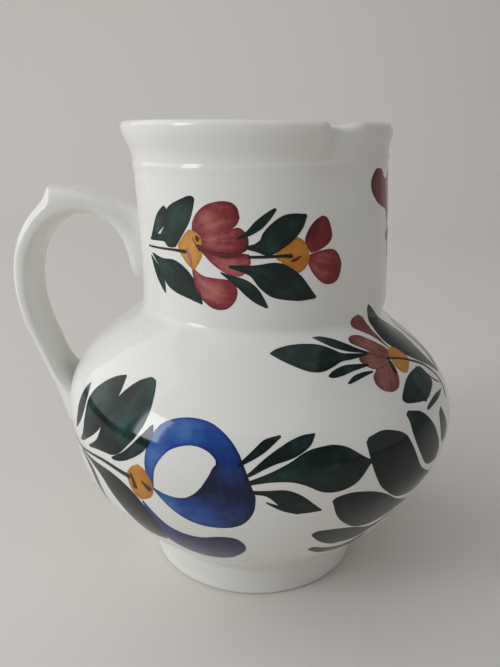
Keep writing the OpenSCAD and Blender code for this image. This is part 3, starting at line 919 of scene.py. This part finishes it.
# Blue spray: a large cobalt flower with an open middle on the belly, its leaves to both sides.
# The ring is two wet strokes that run together, so the cobalt is darkest where they meet.
blue = pigment("cobalt", colour(84, 126, 186), colour(30, 70, 142), colour(5, 18, 56), 0.25, 0.6)
violet = pigment("violet_blue", colour(38, 62, 140), colour(27, 28, 84), colour(15, 14, 50), 0.4, 0.3)
blue_strokes = [
    ([(-150.2, 63.5), (-149.4, 68.3), (-149.6, 71.1), (-149.6, 74.0), (-149.2, 76.7), (-148.1, 78.9)],
     [(-149.2, 63.8), (-146.2, 67.7), (-145.1, 71.5), (-145.5, 74.8), (-146.3, 77.1), (-147.6, 79.2)],
     leaf, (0.5, 0.3), 0.0, 0),
    ([(-147.6, 60.1), (-144.5, 64.9), (-144.0, 70.4), (-144.4, 73.3), (-144.6, 75.4), (-143.6, 78.5),
      (-141.1, 81.4), (-137.4, 83.5), (-133.6, 84.6)],
     [(-144.9, 61.1), (-138.4, 66.4), (-135.1, 70.4), (-133.2, 75.4), (-132.4, 78.9), (-132.2, 80.2),
      (-132.4, 82.4), (-133.0, 84.4)], leaf, (0.75, 0.6, 0.35, 0.7), -0.1, 0),
    ([(-141.5, 61.4), (-137.0, 65.3), (-135.5, 68.3), (-135.0, 70.5), (-133.6, 74.9), (-132.8, 78.2),
      (-132.1, 80.1), (-130.4, 82.3), (-127.6, 84.4), (-125.2, 85.3), (-123.8, 85.7)],
     [(-140.7, 61.1), (-136.3, 62.5), (-132.3, 63.2), (-129.7, 63.7), (-126.9, 65.7), (-124.0, 69.4),
      (-122.4, 71.7), (-120.6, 75.4), (-119.8, 79.3), (-120.1, 82.2), (-120.9, 84.5), (-121.8, 85.5),
      (-123.0, 85.7)], leaf, (0.7, 0.7, 0.35, 0.5, 0.4), 0.15, 1),
    ([(-130.2, 62.9), (-129.1, 63.8), (-125.7, 66.6), (-123.3, 69.4), (-121.2, 72.2), (-119.5, 74.5),
      (-118.4, 76.0), (-117.9, 76.5)],
     [(-130.0, 62.3), (-128.5, 62.4), (-125.8, 63.5), (-122.4, 65.9), (-119.8, 68.3), (-118.2, 70.6),
      (-117.4, 72.6), (-117.3, 74.8), (-117.6, 76.3)], leaf, (0.75, 0.5, 0.45), 0.0, 2),
    ([(-156.5, 56.2, 0.6), (-149.6, 56.5, 0.9), (-135.1, 59.6, 1.2), (-124.6, 58.8, 1.7)],
     line, (0.4,), 0.0, 2),
    ([(-122.9, 63.1), (-125.0, 59.8), (-125.0, 56.3), (-123.8, 53.0), (-121.6, 51.4)],
     [(-121.0, 64.4), (-119.1, 63.3), (-117.5, 60.5), (-117.1, 57.2), (-117.9, 54.3), (-119.8, 52.3)],
     ochre, (0.55, 0.7), 0.0, 1),
    ([(-123.6, 60.1, 0.9), (-122.9, 55.7, 1.8)], line, (0.3,), 0.0, 2),
    ([(-120.4, 58.7, 0.8), (-118.4, 56.9, 2.0)], leaf, (0.2,), 0.0, 2),
    ([(-148.2, 56.3), (-140.5, 56.5), (-132.5, 56.7), (-126.9, 54.9), (-122.6, 51.5), (-119.1, 46.5),
      (-117.0, 41.0), (-116.8, 34.2)],
     [(-148.2, 55.7), (-142.9, 54.5), (-137.4, 51.8), (-133.4, 46.9), (-129.7, 41.5), (-126.9, 36.4),
      (-123.2, 33.0), (-117.2, 33.8)], leaf, (0.6, 0.8, 0.9), 0.0, 1),
    ([(-149.2, 55.1, 0.9), (-144.6, 52.2, 2.8), (-142.0, 48.5, 3.7), (-141.6, 43.0, 3.6),
      (-142.6, 38.0, 2.6), (-144.0, 34.5, 0.7)], leaf, MID, 0.0, 0),
    ([(-117.1, 57.3), (-118.7, 62.6), (-118.8, 68.1), (-117.7, 73.2), (-115.5, 77.2), (-111.4, 79.3),
      (-106.7, 80.0), (-102.0, 79.3), (-98.1, 76.8), (-95.5, 73.4), (-94.1, 69.7), (-92.8, 65.2),
      (-91.6, 60.5)],
     [(-116.9, 58.0), (-116.5, 61.7), (-115.8, 65.3), (-114.1, 68.7), (-112.0, 71.3), (-108.8, 73.0),
      (-106.0, 73.5), (-103.2, 72.9), (-101.4, 71.6), (-100.4, 69.9), (-101.4, 68.2), (-102.3, 65.9),
      (-104.0, 62.4)], blue, (0.65, 0.4, 0.3, 0.4, 0.4, 0.5, 0.65, 0.9, 1.05), 0.0, 0),
    ([(-91.6, 60.5), (-92.0, 55.1), (-93.8, 50.3), (-96.9, 48.0), (-102.0, 47.3), (-107.1, 48.3),
      (-112.0, 51.4), (-115.4, 55.0), (-117.1, 57.3)],
     [(-104.0, 62.4), (-105.0, 60.8), (-106.0, 59.5), (-107.2, 58.3), (-108.5, 57.3), (-109.9, 56.8),
      (-111.7, 56.6), (-114.2, 56.9), (-116.9, 58.0)], blue, (1.05, 0.9, 0.6, 0.45, 0.4, 0.5), 0.0, 0),
    ([(-121.1, 51.5), (-117.7, 47.6), (-114.1, 43.5), (-109.8, 41.4), (-104.9, 41.1), (-99.4, 43.0),
      (-95.4, 42.9), (-93.0, 40.3), (-92.3, 37.8)],
     [(-121.1, 50.3), (-118.9, 45.3), (-117.5, 39.6), (-115.9, 33.8), (-111.3, 29.3), (-105.0, 27.6),
      (-97.8, 29.5), (-93.3, 34.4), (-92.3, 37.2)], violet, (0.1, 0.3, 0.55, 0.7, 0.6), 0.0, 0),
    ([(-95.3, 69.7, 0.9), (-90.7, 73.6, 2.5), (-88.5, 75.5, 2.6), (-85.5, 77.1, 0.8)],
     leaf, (0.7,), 0.0, 2),
    ([(-93.1, 67.1, 1.0), (-88.2, 71.1, 2.8), (-83.1, 73.8, 4.5), (-79.3, 75.8, 3.6),
      (-76.9, 77.3, 0.4)], leaf, (0.8, 0.6, 0.5), 0.0, 2),
    ([(-93.6, 64.6, 1.1), (-88.3, 66.5, 2.7), (-83.4, 67.8, 5.7), (-78.5, 68.3, 11.0),
      (-73.7, 67.5, 13.8), (-68.6, 67.4, 11.1), (-64.0, 68.0, 2.0)],
     leaf, (0.8, 0.45, 0.6, 0.85), 0.0, 2),
    ([(-93.5, 61.9, 1.1), (-89.0, 61.7, 1.9), (-85.1, 60.0, 5.8), (-81.3, 57.2, 6.1),
      (-76.1, 54.8, 0.6)], leaf, (0.8, 0.6, 0.7), 0.0, 2),
    ([(-89.1, 58.6, 0.5), (-85.3, 56.3, 1.4), (-81.5, 54.3, 0.6)], leaf, (0.7,), 0.0, 2),
]
blue_spray = spray("blue_spray", blue_strokes)
other_side(blue_spray, "blue_spray_back")

# Mauve spray: a smaller flower on the shoulder towards the spout, with broad leaves below it.
# Painted as the others are, the mauve being the wine red thinned with water.
mauve = pigment("mauve", colour(172, 118, 108), colour(124, 68, 62), colour(82, 37, 34), 0.5, 0.7)
mauve_strokes = [
    ([(-87.2, 92.0), (-85.1, 92.7), (-80.6, 93.3), (-75.0, 93.4), (-69.2, 93.0), (-64.6, 92.0),
      (-61.1, 91.0), (-57.0, 90.6), (-50.9, 90.0)],
     [(-87.1, 91.8), (-82.6, 90.6), (-77.8, 89.4), (-74.1, 88.6), (-70.0, 88.4), (-65.6, 89.0),
      (-62.0, 89.6), (-57.6, 89.6), (-51.0, 89.7)], leaf, (0.5, 0.55, 0.85), 0.0, 3),
    ([(-71.3, 94.5), (-67.9, 94.5), (-62.9, 93.7), (-58.1, 92.5), (-54.4, 91.4), (-49.2, 90.0)],
     [(-71.3, 94.4), (-68.0, 93.4), (-63.9, 92.2), (-59.2, 91.2), (-54.3, 90.5), (-49.6, 89.8)],
     leaf, (0.6, 0.6, 0.85), 0.0, 4),
    ([(-68.5, 87.7), (-66.3, 88.4), (-61.9, 88.9), (-57.0, 88.7), (-52.4, 88.3)],
     [(-68.6, 87.5), (-67.4, 87.2), (-63.9, 87.3), (-59.7, 87.7), (-54.8, 87.9), (-52.8, 87.9)],
     leaf, (0.6, 0.55, 0.8), 0.0, 3),
    ([(-63.2, 86.0), (-60.3, 86.9), (-56.2, 87.2), (-52.2, 87.0)],
     [(-63.2, 85.9), (-62.2, 85.8), (-58.7, 86.2), (-54.3, 86.6), (-52.4, 86.7)],
     leaf, (0.5, 0.55, 0.8), 0.0, 3),
    ([(-47.2, 98.8), (-43.7, 97.2), (-41.8, 95.1), (-41.1, 93.4), (-39.4, 91.6), (-37.6, 89.5)],
     [(-47.5, 99.0), (-50.7, 98.3), (-52.0, 96.8), (-51.3, 95.3), (-48.8, 94.3), (-45.6, 93.3),
      (-42.3, 92.0), (-39.7, 90.6), (-38.1, 89.4)], mauve, (0.7, 0.45, 0.5), 0.0, 0),
    ([(-48.4, 88.3), (-50.8, 86.9), (-53.0, 86.1), (-53.7, 85.0), (-53.2, 84.0), (-51.8, 83.1),
      (-50.1, 82.6)],
     [(-41.7, 88.2), (-42.0, 86.4), (-42.5, 85.0), (-43.8, 83.7), (-45.8, 82.7), (-48.2, 82.4),
      (-49.7, 82.5)], mauve, (0.35, 0.45, 0.7), 0.0, 0),
    ([(-41.4, 88.5), (-46.1, 89.6), (-50.2, 90.0), (-53.8, 89.8), (-54.9, 89.5)],
     [(-43.3, 87.3), (-48.1, 86.9), (-51.5, 87.2), (-53.6, 88.0), (-55.1, 88.9), (-55.0, 89.4)],
     mauve, (0.4, 0.35, 0.6), 0.0, 1),
    ([(-56.0, 93.3), (-54.0, 93.7), (-50.2, 93.4), (-47.1, 92.5), (-43.5, 91.3), (-40.3, 90.0),
      (-38.8, 88.7)],
     [(-56.1, 93.1), (-55.8, 92.4), (-53.7, 91.7), (-51.3, 91.0), (-49.2, 90.2), (-47.1, 89.0),
      (-42.7, 87.7)], mauve, (0.75, 0.35, 0.45), 0.0, 2),
    ([(-39.6, 89.2), (-40.8, 88.3), (-41.2, 87.0), (-41.0, 85.8), (-39.6, 84.8), (-38.0, 84.4)],
     [(-36.7, 89.5), (-34.2, 89.0), (-32.2, 87.9), (-30.8, 86.6), (-32.7, 85.6), (-35.5, 84.8),
      (-37.5, 84.3)], ochre, (0.6,), 0.0, 3),
    ([(-42.3, 87.8, 0.8), (-42.6, 86.8, 1.9), (-43.0, 85.5, 1.7)], line, MID, 0.0, 3),
    ([(-42.6, 88.1, 0.6), (-33.5, 86.5, 0.7), (-25.0, 83.7, 0.9), (-21.0, 80.4, 1.0),
      (-19.9, 77.4, 1.0), (-20.8, 74.6, 0.9), (-22.8, 72.6, 0.6)], line, MID, 0.0, 4),
    ([(-40.6, 102.3), (-41.3, 99.7), (-39.5, 96.3), (-39.4, 94.5), (-39.2, 92.5), (-37.6, 90.7),
      (-34.6, 88.9), (-31.0, 87.1), (-26.1, 85.0), (-20.5, 82.2), (-15.6, 78.4)],
     [(-39.5, 101.9), (-34.7, 98.6), (-28.0, 95.6), (-20.5, 93.5), (-14.8, 90.9), (-14.9, 88.7),
      (-16.0, 86.4), (-15.9, 83.3), (-14.8, 80.5), (-14.3, 78.0)], leaf, (0.8, 0.55, 0.5, 0.6), 0.0, 2),
    ([(-13.4, 79.1, 1.5), (-6.7, 83.4, 6.6), (-5.6, 88.0, 4.4), (-2.4, 91.4, 1.2)], leaf, MID, 0.0, 0),
    ([(-30.2, 84.2), (-36.7, 84.0), (-41.6, 83.0), (-45.8, 81.2), (-47.1, 80.0), (-46.1, 79.0)],
     [(-27.4, 83.6), (-26.5, 81.6), (-27.0, 79.3), (-30.7, 78.3), (-36.2, 77.2), (-39.8, 77.6),
      (-44.7, 78.6)], leaf, (0.45, 0.4, 0.6), 0.0, 2),
    ([(-38.4, 83.0, 1.2), (-37.9, 80.5, 2.2), (-37.4, 77.4, 1.6)], line, (0.7,), 0.0, 4),
    ([(-26.6, 81.4, 0.6), (-24.8, 79.1, 0.7), (-22.2, 77.4, 0.5)], line, (0.6,), 0.0, 4),
    ([(-23.5, 75.8), (-30.2, 76.6), (-35.5, 76.2), (-38.4, 75.5), (-38.8, 74.9)],
     [(-23.2, 75.6), (-28.4, 75.1), (-33.9, 74.9), (-38.1, 74.7)], leaf, MID, 0.0, 0),
    ([(-48.6, 76.7), (-48.3, 74.7), (-48.4, 71.5), (-47.5, 67.3), (-45.5, 62.8), (-43.4, 59.5),
      (-41.2, 58.0)],
     [(-47.1, 77.4), (-41.8, 75.4), (-38.3, 71.0), (-36.8, 66.8), (-35.4, 62.6), (-35.3, 59.1),
      (-36.6, 57.3), (-40.4, 57.7)], leaf, (0.5, 0.8, 0.9), 0.0, 0),
    ([(-30.8, 72.7), (-33.0, 71.6), (-34.0, 68.4), (-34.0, 64.7), (-32.7, 61.3)],
     [(-30.3, 72.7), (-29.1, 69.1), (-28.0, 65.4), (-28.7, 62.6), (-32.1, 61.3)], leaf, MID, 0.0, 0),
    ([(-64.0, 73.3), (-63.8, 70.6), (-63.2, 66.6), (-61.8, 62.1), (-59.2, 57.3), (-51.9, 51.0),
      (-41.8, 48.0), (-37.6, 49.5), (-31.4, 50.2)],
     [(-63.0, 74.4), (-58.5, 75.2), (-54.3, 74.1), (-51.2, 72.3), (-49.7, 69.4), (-47.6, 63.8),
      (-44.0, 57.9), (-33.4, 50.8), (-31.0, 50.6)], leaf, (0.7, 0.8, 0.9), 0.0, 0),
    ([(-73.6, 57.7), (-72.3, 58.8), (-69.2, 59.4), (-65.7, 58.9), (-61.6, 57.4), (-57.4, 54.7),
      (-51.1, 49.6), (-41.8, 44.2)],
     [(-73.3, 56.6), (-71.6, 52.1), (-68.6, 48.0), (-63.7, 43.5), (-58.7, 41.2), (-53.6, 40.9),
      (-47.6, 42.0), (-40.6, 42.4)], leaf, (0.8, 0.9), 0.0, 1),
    ([(-75.6, 43.7), (-74.3, 45.0), (-70.0, 44.6), (-63.0, 42.6), (-54.3, 38.3), (-48.0, 39.0),
      (-45.1, 40.7)],
     [(-75.1, 42.6), (-71.8, 38.6), (-67.1, 35.0), (-62.9, 34.1), (-57.6, 33.4), (-51.6, 35.7),
      (-43.2, 38.9)], leaf, (0.8, 0.9), 0.0, 0),
    ([(-74.2, 34.2), (-72.7, 35.2), (-67.7, 32.6), (-62.0, 30.6), (-56.9, 31.0), (-52.8, 33.8)],
     [(-73.6, 33.3), (-69.7, 29.9), (-66.0, 28.6), (-60.3, 27.6), (-52.7, 27.0), (-52.6, 33.4)],
     leaf, (0.8, 0.9), 0.0, 0),
]
mauve_spray = spray("mauve_spray", mauve_strokes)
other_side(mauve_spray, "mauve_spray_back")

# Stage: a plain pale floor that sweeps up behind the jug, soft lamps and the photograph's camera.
# The tall lamp on the left stands where the photograph's daylight comes from.
FLOOR_HALF = 1.6
BACKDROP_H = 2.4
SWEEP_R = 0.8
bpy.ops.object.select_all(action="DESELECT")
bpy.ops.mesh.primitive_plane_add(size=2 * FLOOR_HALF, location=(0, 0, 0))
floor = bpy.context.object
floor.name = "floor"
bpy.ops.object.mode_set(mode="EDIT")
bpy.ops.mesh.select_all(action="DESELECT")
bpy.ops.object.mode_set(mode="OBJECT")
for edge in floor.data.edges:
    edge.select = all(floor.data.vertices[v].co.y > 0 for v in edge.vertices)
bpy.ops.object.mode_set(mode="EDIT")
bpy.ops.mesh.select_mode(type="EDGE")
bpy.ops.mesh.extrude_region_move(TRANSFORM_OT_translate={"value": (0, 0, BACKDROP_H)})
bpy.ops.mesh.select_mode(type="VERT")
bpy.ops.object.mode_set(mode="OBJECT")
sweep = floor.modifiers.new("sweep", "BEVEL")
sweep.width = SWEEP_R
sweep.segments = 24
sweep.limit_method = "ANGLE"
bpy.ops.object.modifier_apply(modifier=sweep.name)
bpy.ops.object.shade_smooth()
paper = new_material("pale_floor")[0]
paper_shader = paper.node_tree.nodes["Principled BSDF"]
paper_shader.inputs["Base Color"].default_value = colour(222, 218, 212)
paper_shader.inputs["Roughness"].default_value = 0.75
floor.data.materials.append(paper)


def lamp(name, place, aim, width, height, watts, tint):
    bpy.ops.object.light_add(type="AREA", location=place)
    light = bpy.context.object
    light.name = name
    light.data.shape = "RECTANGLE"
    light.data.size = width
    light.data.size_y = height
    light.data.energy = watts
    light.data.color = tint
    way = [a - p for a, p in zip(aim, place)]
    flat = math.hypot(way[0], way[1])
    light.rotation_euler = (math.atan2(flat, -way[2]), 0, math.atan2(-way[0], way[1]))
    return light


MIDDLE = (0, 0, 0.08)
lamp("daylight", (-0.83, -0.44, 0.42), MIDDLE, 0.28, 0.50, 3.7, (0.93, 0.97, 1.0))
lamp("side light", (-1.5, 0.3, 0.9), MIDDLE, 1.6, 1.6, 9.6, (1.0, 1.0, 1.0))
lamp("overhead", (-0.2, -0.5, 1.7), MIDDLE, 2.2, 2.2, 6.4, (1.0, 1.0, 1.0))
lamp("fill", (1.1, -0.5, 0.5), MIDDLE, 0.9, 0.9, 0.7, (1.0, 0.92, 0.84))
behind = lamp("background light", (0.1, 0.45, 1.8), (0.1, 1.45, 0.3), 2.4, 1.2, 2.8, (1.0, 1.0, 1.0))
behind.data.spread = math.radians(115)
world = bpy.data.worlds.new("room")
world.use_nodes = True
world.node_tree.nodes["Background"].inputs["Color"].default_value = (0.86, 0.87, 0.9, 1)
world.node_tree.nodes["Background"].inputs["Strength"].default_value = 0.25
bpy.context.scene.world = world
bpy.context.scene.view_settings.view_transform = "Standard"

CAMERA_AT = (-3.40, -213.04, 154.75)
CAMERA_DOWN = 18.04
CAMERA_ROLL = 0.97
FOCAL_PX = 594.2
PHOTO_H = 667
SENSOR = 36
bpy.ops.object.camera_add(location=[value * MM for value in CAMERA_AT])
camera = bpy.context.object
camera.name = "camera"
camera.data.sensor_width = SENSOR
camera.data.lens = SENSOR * FOCAL_PX / PHOTO_H
camera.data.clip_start = 0.01
camera.rotation_euler = (math.radians(90 - CAMERA_DOWN), 0, 0)
camera.rotation_euler.rotate_axis("Z", math.radians(CAMERA_ROLL))
bpy.context.scene.camera = camera
